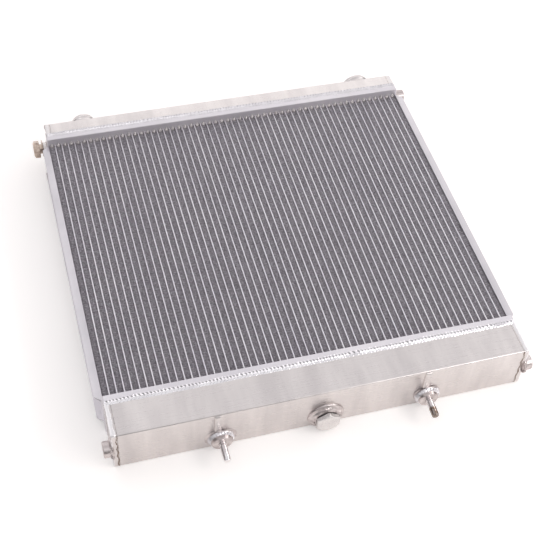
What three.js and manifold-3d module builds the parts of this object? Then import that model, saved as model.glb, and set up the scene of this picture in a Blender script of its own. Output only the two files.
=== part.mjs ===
// All-aluminium car radiator lying on its back, in millimetres with +Z up.
// A core of flat tubes and fins runs along Y between two headers. In the car it stands upright: the deep
// lower tank, at the -Y end here, sits on two locating pins, and the slim upper tank is at the +Y end.
// Both hoses join the upper tank, which a divider splits, so coolant runs down one half of the tubes,
// turns in the lower tank and comes back up the other half.
import * as THREE from 'three';
import { mergeVertices } from 'three/addons/utils/BufferGeometryUtils.js';
import Module from 'manifold-3d';

const wasm = await Module();
wasm.setup();

// Core
const tubeCount = 56;
const tubePitch = 10;
const tubeThickness = 2;
const tubeWall = 0.35;
const tubeOverhang = 7;          // how far a tube end reaches past the header's core side
const coreLength = 479.5;        // between the two headers
const coreDepth = 50;            // along Z, from the upper face at Z = 0 downwards
const finRecess = 0.8;           // the fins stop this far short of the tube noses
const brazeSheet = 1;            // the filler sheet round the tubes at the lower header
const finEndStrip = 1;           // the flat last fold that ties the fin strips together
const sheetLap = 1.5;            // how far both of those stand past the tube noses, behind the header rim
const gap = 0.3;                 // working clearance between neighbouring pieces
const past = 1;                  // how far a cutter runs past what it cuts

// Side plates
const plateSheet = 1.8;
const plateInner = 284.5;
const plateOuter = 295;
const plateChamfer = 8;
const plateProud = 0.4;

// Headers and tanks
const rim = 12.5;                // how far headers and tanks stand past the core faces
const headerHalfWidth = 286.7;
const headerSheet = 3;
const headerDepth = 8.8;
const headerRadius = 4;
const edgeRound = 1.2;
const weldGroove = 3.8;          // between a header flange and its tank
const weldWidth = 7.9;
const weldProud = 1.2;
const weldShoulder = 0.8;        // the bead's height halfway to its edge, as a share of weldProud
const weldRoot = 2.4;
const lowerTankFace = 63.4;      // from a header's core side to its tank's outer face
const upperTankFace = 37;
const tankSheet = 3;
const tankRound = 2.2;
const insideRound = 0.2;
const tankHalfWidth = 284.8;
const capDepth = 7.3;
const dividerSheet = 3;

// Locating pins on the lower tank
const pinOffset = 144;
const fittingLevel = -41;
const pinRadius = 5;
const pinReach = 38;
const pinTipLength = 1.4;
const pinTipCut = 1.2;
const pinBossRadius = 13.5;
const pinBossFoot = 17;
const pinBossHeight = 8.8;
const pinBossFlare = { height: 3.4, taper: 0.6 };   // where the welded foot ends, and the taper above it
const ribWidth = 10;
const ribProud = 5;
const ribShift = 4;

// Drain plug in the middle of the lower tank
const bungRadius = 21.4;
const bungSpigot = 16.5;
const bungHeight = 7.4;
const bungTaper = 1.5;
const plugShank = 12.7;
const plugShankLength = 10.2;
const plugAcrossFlats = 32;
const plugHeadHeight = 6.6;
const hexFaceShare = 0.43;       // a hexagon head's flat face radius, as a share of its size across flats
const hexCornerDrop = 2.2;
const washerThickness = 1.2;
const washerRadius = 15.6;

// Bosses on the tank ends, and the bleed screw in the upper tank's left end
const lowerEndBoss = { radius: 11, height: 12, bore: 4, boreDepth: 8 };
const lowerEndStation = 56.6;
const lowerEndLevel = -25;
const sensorBoss = { radius: 9.7, height: 23, bore: 5, boreDepth: 15 };
const bleedBoss = { radius: 9.7, height: 8, bore: 5.3 };
const bleedWasher = { bore: 5.3, radius: 13.3, thickness: 1.4 };
const bleedStem = { shank: 5, shankLength: 14, neck: 7.5, neckLength: 3.4 };
const bleedHead = { acrossFlats: 24, height: 9.6 };
const bossChamfer = 1;
const upperEndStation = 18.8;
const upperEndLevel = -21;

// Hose necks on the upper tank
const hoseNecks = [
  { name: 'hose_neck_left', x: -222.5, radius: 18.8, length: 32 },
  { name: 'hose_neck_right', x: 237, radius: 23.4, length: 26.5 },
];
const neckLevel = -25;
const neckWall = 2.6;
const neckBead = 1.3;
const neckBeadStart = 9;         // the bead's foot, crest and far side, all measured back from the mouth
const neckBeadCrest = [7, 6];
const neckBeadEnd = 4;
const neckMouthTaper = 0.6;
const neckSpigot = 3;

// Levels worked out from the dimensions above
const top = rim;
const bottom = -coreDepth - rim;
const tankStart = headerDepth + weldGroove;
const shellHalfWidth = tankHalfWidth - capDepth - gap;

// Materials

function metal(color, roughness) {
  return new THREE.MeshStandardMaterial({ color, roughness, metalness: 1 });
}

function rubber(color) {
  return new THREE.MeshStandardMaterial({ color, roughness: 0.8, metalness: 0 });
}

const sheetAluminium = metal(0xd6d4d6, 0.35);
const finAluminium = metal(0x7d7880, 0.6);
const tubeAluminium = metal(0xc3c0c6, 0.4);
const weldAluminium = metal(0xe8e6e8, 0.3);
const machinedAluminium = metal(0xd2ccca, 0.3);
const zincSteel = metal(0xb9a99a, 0.25);
const brass = metal(0xa08a68, 0.35);
const washerRubber = rubber(0x2b2a2c);

// Geometry helpers

function toManifold(geometry) {
  const bare = geometry.clone();
  bare.deleteAttribute('normal');
  bare.deleteAttribute('uv');
  const merged = mergeVertices(bare, 1e-4);
  return new wasm.Manifold(new wasm.Mesh({
    numProp: 3,
    vertProperties: new Float32Array(merged.attributes.position.array),
    triVerts: new Uint32Array(merged.index.array),
  }));
}

function toGeometry(solid) {
  const mesh = solid.getMesh();
  const geometry = new THREE.BufferGeometry();
  geometry.setAttribute('position', new THREE.BufferAttribute(new Float32Array(mesh.vertProperties), 3));
  geometry.setIndex(new THREE.BufferAttribute(new Uint32Array(mesh.triVerts), 1));
  geometry.computeVertexNormals();
  return geometry;
}

function join(geometries) {
  return toGeometry(geometries.map(toManifold).reduce((sum, solid) => sum.add(solid)));
}

function cut(geometry, tools) {
  return toGeometry(tools.map(toManifold).reduce((sum, tool) => sum.subtract(tool), toManifold(geometry)));
}

function block([x0, x1], [y0, y1], [z0, z1]) {
  const geometry = new THREE.BoxGeometry(x1 - x0, y1 - y0, z1 - z0);
  return geometry.translate((x0 + x1) / 2, (y0 + y1) / 2, (z0 + z1) / 2);
}

function rectangle(Kind, x0, x1, z0, z1) {
  const outline = new Kind();
  outline.moveTo(x0, z0);
  outline.lineTo(x1, z0);
  outline.lineTo(x1, z1);
  outline.lineTo(x0, z1);
  return outline;
}

function roundedRectangle(Kind, x0, x1, z0, z1, r) {
  const outline = new Kind();
  outline.moveTo(x0 + r, z0);
  outline.lineTo(x1 - r, z0);
  outline.absarc(x1 - r, z0 + r, r, -Math.PI / 2, 0);
  outline.lineTo(x1, z1 - r);
  outline.absarc(x1 - r, z1 - r, r, 0, Math.PI / 2);
  outline.lineTo(x0 + r, z1);
  outline.absarc(x0 + r, z1 - r, r, Math.PI / 2, Math.PI);
  outline.lineTo(x0, z0 + r);
  outline.absarc(x0 + r, z0 + r, r, Math.PI, Math.PI * 1.5);
  return outline;
}

// An outline drawn in X and Z, carried along +Y from y = 0
function carriedAlongY(shape, length, options = {}) {
  const settings = { depth: length, bevelEnabled: false, curveSegments: 3, ...options };
  const geometry = new THREE.ExtrudeGeometry(shape, settings);
  return geometry.rotateX(Math.PI / 2).translate(0, length, 0);
}

// An outline drawn in Y and Z, carried along X and centred on x = 0
function carriedAlongX(shape, length, options = {}) {
  const settings = { depth: length, bevelEnabled: false, curveSegments: 4, ...options };
  const geometry = new THREE.ExtrudeGeometry(shape, settings);
  geometry.translate(0, 0, -length / 2);
  return geometry.rotateX(Math.PI / 2).rotateZ(Math.PI / 2);
}

function polygon(points) {
  return new THREE.Shape(points.map(([a, b]) => new THREE.Vector2(a, b)));
}

// A turned piece: [radius, height] points from the foot up, revolved about its own Y axis
function turned(points, segments = 24) {
  return new THREE.LatheGeometry(points.map(([r, y]) => new THREE.Vector2(r, y)), segments);
}

// A turned piece closed on itself, such as a ring with a bore
function turnedRing(points, segments = 24) {
  return turned([...points, points[0]], segments);
}

// Turns that point a turned piece's own +Y axis outwards from each side of the radiator
const outwards = {
  near: new THREE.Euler(Math.PI, 0, 0),
  far: new THREE.Euler(0, 0, 0),
  left: new THREE.Euler(0, 0, Math.PI / 2),
  right: new THREE.Euler(0, 0, -Math.PI / 2),
};

function piece(name, geometry, material, position = [0, 0, 0], turn = outwards.far) {
  const mesh = new THREE.Mesh(geometry, material);
  mesh.name = name;
  mesh.position.set(...position);
  mesh.rotation.copy(turn);
  return mesh;
}

// Core

const tubeCentres = Array.from({ length: tubeCount }, (_, i) => (i - (tubeCount - 1) / 2) * tubePitch);
const finCentres = Array.from({ length: tubeCount + 1 }, (_, i) => (i - tubeCount / 2) * tubePitch);

// Cutters that clear every tube with the working gap, over a stretch of Y
function tubeSlots(y) {
  const half = tubeThickness / 2 + gap;
  return tubeCentres.map((x) => block([x - half, x + half], y, [-coreDepth - gap, gap]));
}

// The tubes are open at both ends, so coolant runs through them. The brazing filler on the lower header
// ties them together.
function coreTubes() {
  const half = tubeThickness / 2;
  const ends = [-tubeOverhang, coreLength + tubeOverhang];
  const reach = plateInner - gap;
  const sheet = block([-reach, reach], [gap, gap + brazeSheet], [-coreDepth - sheetLap, sheetLap]);
  const walls = tubeCentres.map((x) => block([x - half, x + half], ends, [-coreDepth, 0]));
  const bores = tubeCentres.map((x) => block(
    [x - half + tubeWall, x + half - tubeWall],
    [ends[0] - past, ends[1] + past],
    [-coreDepth + 2 * tubeWall, -2 * tubeWall],
  ));
  return cut(join([sheet, ...walls]), bores);
}

// Each strip fills the space between two tubes. The folded sheet is drawn as its outer block.
function coreFins() {
  const half = (tubePitch - tubeThickness) / 2 - gap;
  const start = 2 * gap + brazeSheet;
  const end = coreLength - start;
  const z = [-coreDepth + finRecess, -finRecess];
  const strips = finCentres.map((x) => block([x - half, x + half], [start, end], z));
  const reach = finCentres.at(-1) + half;
  const endStrip = block([-reach, reach], [start, start + finEndStrip], [-coreDepth - sheetLap, sheetLap]);
  const comb = cut(endStrip, tubeSlots([start - past, start + finEndStrip + past]));
  return join([...strips, comb]);
}

// A channel with its flanges turned outwards, cut back at 45 degrees where it meets each header
function sidePlate(side) {
  const y = [gap, coreLength - gap];
  const z0 = -coreDepth - plateProud;
  const z1 = plateProud;
  const body = block([plateInner, plateOuter], y, [z0, z1]);
  const trough = block(
    [plateInner + plateSheet, plateOuter + past],
    [y[0] - past, y[1] + past],
    [z0 + plateSheet, z1 - plateSheet],
  );
  const corner = (edge, inwards) => {
    const shape = polygon([
      [plateOuter - plateChamfer - past, edge - inwards * past],
      [plateOuter + past, edge - inwards * past],
      [plateOuter + past, edge + inwards * (plateChamfer + past)],
    ]);
    const tool = new THREE.ExtrudeGeometry(shape, { depth: z1 - z0 + 2 * past, bevelEnabled: false });
    return tool.translate(0, 0, z0 - past);
  };
  const plate = cut(body, [trough, corner(y[0], 1), corner(y[1], -1)]);
  return side > 0 ? plate : plate.rotateZ(Math.PI).translate(0, coreLength, 0);
}

// Headers and tanks, drawn with y = 0 at the header's core side and the tank towards +Y

// A pressed tray, slotted for the tubes and open towards its tank
function header() {
  const z0 = bottom;
  const z1 = top;
  const w = headerHalfWidth;
  const face = roundedRectangle(THREE.Shape, -w + edgeRound, w - edgeRound, z0 + edgeRound, z1 - edgeRound,
    headerRadius - edgeRound);
  const bevel = { bevelEnabled: true, bevelSize: edgeRound, bevelThickness: edgeRound, bevelSegments: 2 };
  const tray = carriedAlongY(face, headerDepth, bevel).translate(0, edgeRound, 0);
  const beyond = headerDepth + 3 * edgeRound;
  const squareOff = block([-w - past, w + past], [headerDepth, beyond], [z0 - past, z1 + past]);
  const inner = w - headerSheet;
  const pocket = block([-inner, inner], [headerSheet, beyond], [z0 + headerSheet, z1 - headerSheet]);
  return cut(tray, [squareOff, pocket, ...tubeSlots([-past, headerSheet + past])]);
}

// The tank's section in Y and Z: folded round the far side and open towards the header
function tankOutline(Kind, face, start, inset) {
  const r = Math.max(tankRound - inset, insideRound);
  const y1 = face - inset;
  const z0 = bottom + inset;
  const z1 = top - inset;
  const outline = new Kind();
  outline.moveTo(start, z0);
  outline.lineTo(y1 - r, z0);
  outline.absarc(y1 - r, z0 + r, r, -Math.PI / 2, 0);
  outline.absarc(y1 - r, z1 - r, r, 0, Math.PI / 2);
  outline.lineTo(start, z1);
  outline.closePath();
  return outline;
}

// The folded sheet of a tank, open at both ends. Holes are [x, z, radius] in its outer face.
function tankShell(face, holes) {
  const outer = carriedAlongX(tankOutline(THREE.Shape, face, tankStart, 0), 2 * shellHalfWidth);
  const cavity = tankOutline(THREE.Shape, face, tankStart - past, tankSheet);
  const drills = holes.map(([x, z, r]) => (
    new THREE.CylinderGeometry(r, r, 3 * tankSheet, 32).translate(x, face - tankSheet / 2, z)
  ));
  return cut(outer, [carriedAlongX(cavity, 2 * (shellHalfWidth + past)), ...drills]);
}

// A dished end for a tank: a flat end with a turned-in edge all round. It closes the +X end (side 1) or
// the -X end (side -1), and holes are [y, z, radius] in its flat.
function tankCap(face, side, holes = []) {
  const outer = carriedAlongX(tankOutline(THREE.Shape, face, tankStart, 0), capDepth);
  const dishX = [-side * capDepth, side * (capDepth / 2 - tankSheet)].sort((a, b) => a - b);
  const dish = block(
    dishX,
    [tankStart + tankSheet, face - tankSheet],
    [bottom + tankSheet, top - tankSheet],
  );
  const drills = holes.map(([y, z, r]) => {
    const drill = new THREE.CylinderGeometry(r, r, 3 * tankSheet, 24);
    return drill.rotateZ(Math.PI / 2).translate((side * capDepth) / 2, y, z);
  });
  return cut(outer, [dish, ...drills]);
}

// Splits the upper tank in two between the middle tubes
function tankDivider(face) {
  return block(
    [-dividerSheet / 2, dividerSheet / 2],
    [headerSheet + gap, face - tankSheet - gap],
    [bottom + tankSheet + gap, top - tankSheet - gap],
  );
}

// The bead that joins a header to its tank: it fills the groove all round and stands proud on the top face
function tankWeld() {
  const y0 = headerDepth + gap;
  const y1 = tankStart - gap;
  const w = tankHalfWidth;
  const ring = rectangle(THREE.Shape, -w, w, bottom, top);
  ring.holes = [rectangle(THREE.Path, -w + weldRoot, w - weldRoot, bottom + weldRoot, top - weldRoot)];
  const filler = carriedAlongY(ring, y1 - y0).translate(0, y0, 0);
  const lap = (weldWidth - weldGroove) / 2;
  const cover = polygon([
    [y0, top - weldRoot],
    [y1, top - weldRoot],
    [y1, top + gap],
    [y1 + lap, top + gap],
    [y1 + lap / 2, top + weldProud * weldShoulder],
    [(y0 + y1) / 2, top + weldProud],
    [y0 - lap / 2, top + weldProud * weldShoulder],
    [y0 - lap, top + gap],
    [y0, top + gap],
  ]);
  return join([filler, carriedAlongX(cover, 2 * w)]);
}

// Fittings

function bungRing() {
  const bore = plugShank + gap;
  return turnedRing([
    [bore, -tankSheet],
    [bungSpigot, -tankSheet],
    [bungSpigot, gap],
    [bungRadius, gap],
    [bungRadius - bungTaper, bungHeight],
    [bore, bungHeight],
  ], 32);
}

function hexagon(acrossFlats) {
  const corner = acrossFlats / Math.sqrt(3);
  const points = Array.from({ length: 6 }, (_, i) => {
    const angle = Math.PI / 6 + (i * Math.PI) / 3;
    return [corner * Math.cos(angle), corner * Math.sin(angle)];
  });
  return polygon(points);
}

// A hexagon head with its corners turned off to a round face, on y = 0 to y = height
function hexHead(acrossFlats, height) {
  const corner = acrossFlats / Math.sqrt(3);
  const prism = carriedAlongY(hexagon(acrossFlats), height);
  const dome = turned([
    [0, -past],
    [corner + past, -past],
    [corner + past, height - hexCornerDrop],
    [acrossFlats * hexFaceShare, height],
    [0, height],
  ], 36);
  return toGeometry(toManifold(prism).intersect(toManifold(dome)));
}

// The shank runs a little way into the head, so that the two join.
function drainPlug() {
  const shank = turned([
    [0, -plugShankLength],
    [plugShank - bossChamfer, -plugShankLength],
    [plugShank, -plugShankLength + bossChamfer],
    [plugShank, past],
    [0, past],
  ], 32);
  return join([shank, hexHead(plugAcrossFlats, plugHeadHeight)]);
}

function flatWasher(bore, radius, thickness) {
  return turnedRing([[bore, 0], [radius, 0], [radius, thickness], [bore, thickness]]);
}

// A welded foot that narrows to a flat disc, bored for its pin
function pinBoss() {
  return turnedRing([
    [pinRadius + gap, gap],
    [pinBossFoot, gap],
    [pinBossRadius + pinBossFlare.taper, pinBossFlare.height],
    [pinBossRadius, pinBossHeight],
    [pinRadius + gap, pinBossHeight],
  ], 28);
}

function locatingPin() {
  return turned([
    [0, 2 * gap],
    [pinRadius, 2 * gap],
    [pinRadius, pinReach - pinTipLength],
    [pinRadius - pinTipCut, pinReach],
    [0, pinReach],
  ], 20);
}

// A half-round bar that runs down the tank's face from its top fold to the pin boss
function faceRib() {
  const half = ribWidth / 2;
  const section = new THREE.Shape();
  section.moveTo(-half, -gap);
  section.absellipse(0, -gap, half, ribProud, Math.PI, 2 * Math.PI);
  section.closePath();
  const length = top - tankRound - (fittingLevel + pinBossFoot) - gap;
  return new THREE.ExtrudeGeometry(section, { depth: length, bevelEnabled: false, curveSegments: 8 });
}

function endBoss({ radius, height, bore, boreDepth }) {
  return turned([
    [0, gap],
    [radius, gap],
    [radius, height - bossChamfer],
    [radius - bossChamfer, height],
    [bore, height],
    [bore, height - boreDepth],
    [0, height - boreDepth],
  ]);
}

function bleedRing({ radius, height, bore }) {
  return turnedRing([
    [bore, gap],
    [radius, gap],
    [radius, height - bossChamfer],
    [radius - bossChamfer, height],
    [bore, height],
  ]);
}

function bleedScrew() {
  const { shank, shankLength, neck, neckLength } = bleedStem;
  const stem = turned([
    [0, -shankLength],
    [shank, -shankLength],
    [shank, 0],
    [neck, 0],
    [neck, neckLength + past],
    [0, neckLength + past],
  ], 20);
  const head = hexHead(bleedHead.acrossFlats, bleedHead.height);
  return join([stem, head.translate(0, neckLength, 0)]);
}

// A neck with a spigot through the tank wall and a rolled bead that holds the hose
function hoseNeck({ radius, length }) {
  const bore = radius - neckWall;
  return turnedRing([
    [bore, -neckSpigot],
    [radius, -neckSpigot],
    [radius, length - neckBeadStart],
    [radius + neckBead, length - neckBeadCrest[0]],
    [radius + neckBead, length - neckBeadCrest[1]],
    [radius, length - neckBeadEnd],
    [radius - neckMouthTaper, length],
    [bore, length],
  ], 28);
}

// Assembly

const radiator = new THREE.Group();

function addCore() {
  radiator.add(
    piece('core_tubes', coreTubes(), tubeAluminium),
    piece('core_fins', coreFins(), finAluminium),
    piece('side_plate_left', sidePlate(-1), sheetAluminium),
    piece('side_plate_right', sidePlate(1), sheetAluminium),
  );
}

// A tank set: header, shell, weld and two caps. capNames are for its +X and -X ends.
function tankSet(name, { face, shellHoles, capNames, capHoles }) {
  const set = new THREE.Group();
  const capCentre = tankHalfWidth - capDepth / 2;
  set.add(
    piece(`${name}_header`, header(), sheetAluminium),
    piece(`${name}_tank`, tankShell(face, shellHoles), sheetAluminium),
    piece(`${name}_tank_weld`, tankWeld(), weldAluminium),
    piece(capNames[0], tankCap(face, 1), sheetAluminium, [capCentre, 0, 0]),
    piece(capNames[1], tankCap(face, -1, capHoles), sheetAluminium, [-capCentre, 0, 0]),
  );
  return set;
}

function addLowerTank() {
  const set = tankSet('lower', {
    face: lowerTankFace,
    shellHoles: [[0, fittingLevel, bungSpigot + gap]],
    capNames: ['lower_tank_cap_left', 'lower_tank_cap_right'],
    capHoles: [],
  });
  set.rotation.z = Math.PI;
  radiator.add(set);
}

function addUpperTank() {
  const set = tankSet('upper', {
    face: upperTankFace,
    shellHoles: hoseNecks.map(({ x, radius }) => [x, neckLevel, radius + gap]),
    capNames: ['upper_tank_cap_right', 'upper_tank_cap_left'],
    capHoles: [[upperEndStation, upperEndLevel, bleedBoss.bore]],
  });
  set.add(piece('upper_tank_divider', tankDivider(upperTankFace), sheetAluminium));
  set.position.y = coreLength;
  radiator.add(set);
}

function addLocatingPins() {
  for (const [side, name] of [[-1, 'left'], [1, 'right']]) {
    const foot = [side * pinOffset, -lowerTankFace, fittingLevel];
    const ribFoot = [foot[0] - ribShift, -lowerTankFace, fittingLevel + pinBossFoot + gap];
    radiator.add(
      piece(`pin_boss_${name}`, pinBoss(), weldAluminium, foot, outwards.near),
      piece(`locating_pin_${name}`, locatingPin(), zincSteel, foot, outwards.near),
      piece(`pin_rib_${name}`, faceRib(), machinedAluminium, ribFoot),
    );
  }
}

function addDrainPlug() {
  const seat = -lowerTankFace - bungHeight - gap;
  const head = seat - washerThickness - gap;
  radiator.add(
    piece('drain_bung', bungRing(), weldAluminium, [0, -lowerTankFace, fittingLevel], outwards.near),
    piece(
      'drain_washer',
      flatWasher(plugShank + gap, washerRadius, washerThickness),
      washerRubber,
      [0, seat, fittingLevel],
      outwards.near,
    ),
    piece('drain_plug', drainPlug(), machinedAluminium, [0, head, fittingLevel], outwards.near),
  );
}

function addEndBosses() {
  const lower = [tankHalfWidth, -lowerEndStation, lowerEndLevel];
  const upper = [tankHalfWidth, coreLength + upperEndStation, upperEndLevel];
  const leftOf = ([x, y, z], proud = 0) => [-x - proud, y, z];
  const washerSeat = bleedBoss.height + gap;
  const screwSeat = washerSeat + bleedWasher.thickness + gap;
  const washer = flatWasher(bleedWasher.bore, bleedWasher.radius, bleedWasher.thickness);
  radiator.add(
    piece('lower_boss_left', endBoss(lowerEndBoss), machinedAluminium, leftOf(lower), outwards.left),
    piece('lower_boss_right', endBoss(lowerEndBoss), machinedAluminium, lower, outwards.right),
    piece('sensor_boss', endBoss(sensorBoss), machinedAluminium, upper, outwards.right),
    piece('bleed_boss', bleedRing(bleedBoss), machinedAluminium, leftOf(upper), outwards.left),
    piece('bleed_washer', washer, brass, leftOf(upper, washerSeat), outwards.left),
    piece('bleed_screw', bleedScrew(), brass, leftOf(upper, screwSeat), outwards.left),
  );
}

function addHoseNecks() {
  for (const neck of hoseNecks) {
    const foot = [neck.x, coreLength + upperTankFace, neckLevel];
    radiator.add(piece(neck.name, hoseNeck(neck), machinedAluminium, foot, outwards.far));
  }
}

addCore();
addLowerTank();
addUpperTank();
addLocatingPins();
addDrainPlug();
addEndBosses();
addHoseNecks();

// The origin goes to the middle of the box round the radiator, at its underside.
const box = new THREE.Box3().setFromObject(radiator);
const centre = box.getCenter(new THREE.Vector3());
const assembly = new THREE.Group();
radiator.position.set(-centre.x, -centre.y, -box.min.z);
assembly.add(radiator);
assembly.updateMatrixWorld(true);

export default assembly;
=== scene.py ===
import math

import bpy
import numpy as np
from mathutils import Euler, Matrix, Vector


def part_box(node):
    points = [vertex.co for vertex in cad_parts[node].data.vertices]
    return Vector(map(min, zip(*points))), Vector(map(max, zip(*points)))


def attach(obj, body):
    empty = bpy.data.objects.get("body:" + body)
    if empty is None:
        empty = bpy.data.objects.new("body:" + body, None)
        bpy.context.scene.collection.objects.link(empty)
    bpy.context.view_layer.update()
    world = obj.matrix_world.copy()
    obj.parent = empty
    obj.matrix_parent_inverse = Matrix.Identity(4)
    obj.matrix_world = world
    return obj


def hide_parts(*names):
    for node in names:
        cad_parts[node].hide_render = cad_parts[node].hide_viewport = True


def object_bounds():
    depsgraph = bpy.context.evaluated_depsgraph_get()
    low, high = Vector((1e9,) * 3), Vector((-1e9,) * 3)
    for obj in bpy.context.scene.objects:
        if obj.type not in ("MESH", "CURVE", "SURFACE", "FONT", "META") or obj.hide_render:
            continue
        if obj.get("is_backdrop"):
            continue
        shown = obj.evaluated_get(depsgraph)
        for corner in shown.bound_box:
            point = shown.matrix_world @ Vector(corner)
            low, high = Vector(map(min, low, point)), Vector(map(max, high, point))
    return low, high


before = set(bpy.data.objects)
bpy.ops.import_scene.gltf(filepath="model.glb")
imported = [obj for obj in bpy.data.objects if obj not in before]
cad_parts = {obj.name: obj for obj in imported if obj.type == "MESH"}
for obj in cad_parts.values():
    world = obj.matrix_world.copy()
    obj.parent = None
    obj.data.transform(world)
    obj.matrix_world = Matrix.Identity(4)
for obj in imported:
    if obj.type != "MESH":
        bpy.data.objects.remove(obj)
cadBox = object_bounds()
print("frame loaded:", len(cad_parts), "nodes")

mm = 0.001


def cadSpan(node):  # lowest and highest corners of a CAD node, in mm
    low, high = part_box(node)
    return np.array(low) / mm, np.array(high) / mm


core = {
    "rim": 12.5,          # the tanks stand this far past the core's upper and lower faces
    "depth": 50.0,
    "tubes": 56,
    "pitch": 10.0,
}
coreTop = cadSpan("lower_tank")[1][2] - core["rim"]
lowerFace = cadSpan("lower_header")[1][1]      # the headers' core sides
upperFace = cadSpan("upper_header")[0][1]
tankTop = core["rim"]                          # levels measured from the core's upper face
tankBottom = -core["depth"] - core["rim"]


# A shell is points, quads and end faces. A piece is made from a list of shells.

def grid(points, closeU=False, closeV=False, capU=False):
    # Points laid out as rows (U) and columns (V). Each cell of four neighbours is a face.
    rows, columns = points.shape[:2]
    index = np.arange(rows * columns).reshape(rows, columns)
    caps = [index[0, ::-1], index[-1]] if capU else []
    if closeU:
        index = np.vstack([index, index[:1]])
    if closeV:
        index = np.hstack([index, index[:, :1]])
    quads = np.stack([index[:-1, :-1], index[1:, :-1], index[1:, 1:], index[:-1, 1:]], -1)
    return points.reshape(-1, 3), quads.reshape(-1, 4), caps


def moved(shell, place):  # the same shell with its points set in place
    return place(shell[0]), shell[1], shell[2]


def signedVolume(points, faces):
    # Each face adds a sixth of the box spanned by its corner and its two diagonals from the origin.
    a, b, c, d = (points[faces[:, i]] for i in range(4))
    return (np.einsum("ij,ij->i", a, np.cross(b, c)) + np.einsum("ij,ij->i", a, np.cross(c, d))).sum()


def makePiece(name, shells, finish, body="root", replaces=(), sharpAngle=32, tint=None):
    # Joins the shells into one mesh, with every shell turned so that its volume is positive.
    points = np.concatenate([shell[0] for shell in shells])
    offsets = np.cumsum([0] + [len(shell[0]) for shell in shells])
    corners = []
    sizes = []
    for shell, offset in zip(shells, offsets):
        flip = signedVolume(shell[0] - shell[0].mean(0), shell[1]) < 0
        turn = slice(None, None, -1) if flip else slice(None)
        corners.append((shell[1][:, turn] + offset).ravel())
        sizes.append(np.full(len(shell[1]), 4))
        for cap in shell[2]:
            corners.append(cap[turn] + offset)
            sizes.append([len(cap)])
    corners = np.concatenate(corners).astype(np.int32)
    sizes = np.concatenate(sizes).astype(np.int32)
    mesh = bpy.data.meshes.new(name)
    mesh.vertices.add(len(points))
    mesh.vertices.foreach_set("co", (points * mm).astype(np.float32).ravel())
    mesh.loops.add(len(corners))
    mesh.loops.foreach_set("vertex_index", corners)
    mesh.polygons.add(len(sizes))
    mesh.polygons.foreach_set("loop_start", np.cumsum(sizes) - sizes)
    mesh.polygons.foreach_set("loop_total", sizes)
    mesh.update(calc_edges=True)
    mesh.validate()
    mesh.polygons.foreach_set("use_smooth", np.ones(len(mesh.polygons), bool))
    mesh.set_sharp_from_angle(angle=math.radians(sharpAngle))
    if tint is not None:
        mesh.attributes.new("tint", "FLOAT", "POINT").data.foreach_set("value", tint.astype(np.float32))
    mesh.materials.append(finish)
    piece = bpy.data.objects.new(name, mesh)
    bpy.context.scene.collection.objects.link(piece)
    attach(piece, body)
    if replaces:
        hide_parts(*replaces)
    return piece


longestFillet = 0.49   # the most of a side that one fillet takes


def filleted(points, radius, steps=6, closed=False):
    # Every corner becomes a short parabola that starts and ends a radius away along its two sides.
    p = np.asarray(points, float)

    def stepTo(other):
        d = other - p
        length = np.linalg.norm(d, axis=1, keepdims=True)
        return d / length * np.minimum(np.reshape(radius, (-1, 1)), length * longestFillet)

    t = np.linspace(0, 1, steps)[None, :, None]
    start = (p + stepTo(np.roll(p, 1, 0)))[:, None]
    end = (p + stepTo(np.roll(p, -1, 0)))[:, None]
    curve = start * (1 - t) ** 2 + p[:, None] * 2 * t * (1 - t) + end * t ** 2
    if closed:
        return curve.reshape(-1, 2)
    return np.concatenate([p[:1], curve[1:-1].reshape(-1, 2), p[-1:]])


def resampled(path, spacing, closed=False):
    # Points at equal distances along a path, with the distance of each from the start.
    p = np.vstack([path, path[:1]]) if closed else path
    run = np.concatenate([[0], np.cumsum(np.linalg.norm(np.diff(p, axis=0), axis=1))])
    count = max(2, int(round(run[-1] / spacing)) + 1)
    s = np.linspace(0, run[-1], count)[: -1 if closed else None]
    return np.stack([np.interp(s, run, p[:, i]) for i in range(p.shape[1])], -1), s


def wander(s, spacing, seed):
    # A slow random drift between -1 and 1: fixed random heights joined by cosine steps.
    knots = np.random.default_rng(seed).uniform(-1, 1, int(np.max(s) / spacing) + 3)
    low = np.floor(s / spacing).astype(int)
    blend = (1 - np.cos(math.pi * (s / spacing - low))) / 2
    return knots[low] * (1 - blend) + knots[low + 1] * blend


def unit(v):  # each row divided by its own length
    return v / np.linalg.norm(v, axis=-1, keepdims=True)


def lathe(profile, count=64, wobble=None, ring=False):
    # [radius, height] points turned about the local +Y axis; wobble(angle, height) is added to the radius.
    profile = np.asarray(profile, float)
    angle = np.linspace(0, 2 * math.pi, count, endpoint=False)[None]
    r = profile[:, :1] + (wobble(angle, profile[:, 1:]) if wobble else 0 * angle)
    h = profile[:, 1:] + 0 * angle
    points = np.stack([r * np.cos(angle), h, r * np.sin(angle)], -1)
    return grid(points, closeU=ring, closeV=True, capU=not ring)


# Turns that point a turned piece outwards from each side, then set its foot in place
outwards = {
    "near": np.array([[1, 0, 0], [0, -1, 0], [0, 0, -1]], float),
    "far": np.eye(3),
    "left": np.array([[0, -1, 0], [1, 0, 0], [0, 0, 1]], float),
    "right": np.array([[0, 1, 0], [-1, 0, 0], [0, 0, 1]], float),
}


def facing(side, foot):
    return lambda points: points @ outwards[side].T + np.asarray(foot, float)


def upperSet(points):  # from a tank's own coordinates: y = 0 on the header's core side, tank towards +Y
    return points + np.array([0, upperFace, coreTop])


def lowerSet(points):  # the same for the lower tank, turned half round so that it reaches towards -Y
    return points * np.array([-1, -1, 1]) + np.array([0, lowerFace, coreTop])


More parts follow.
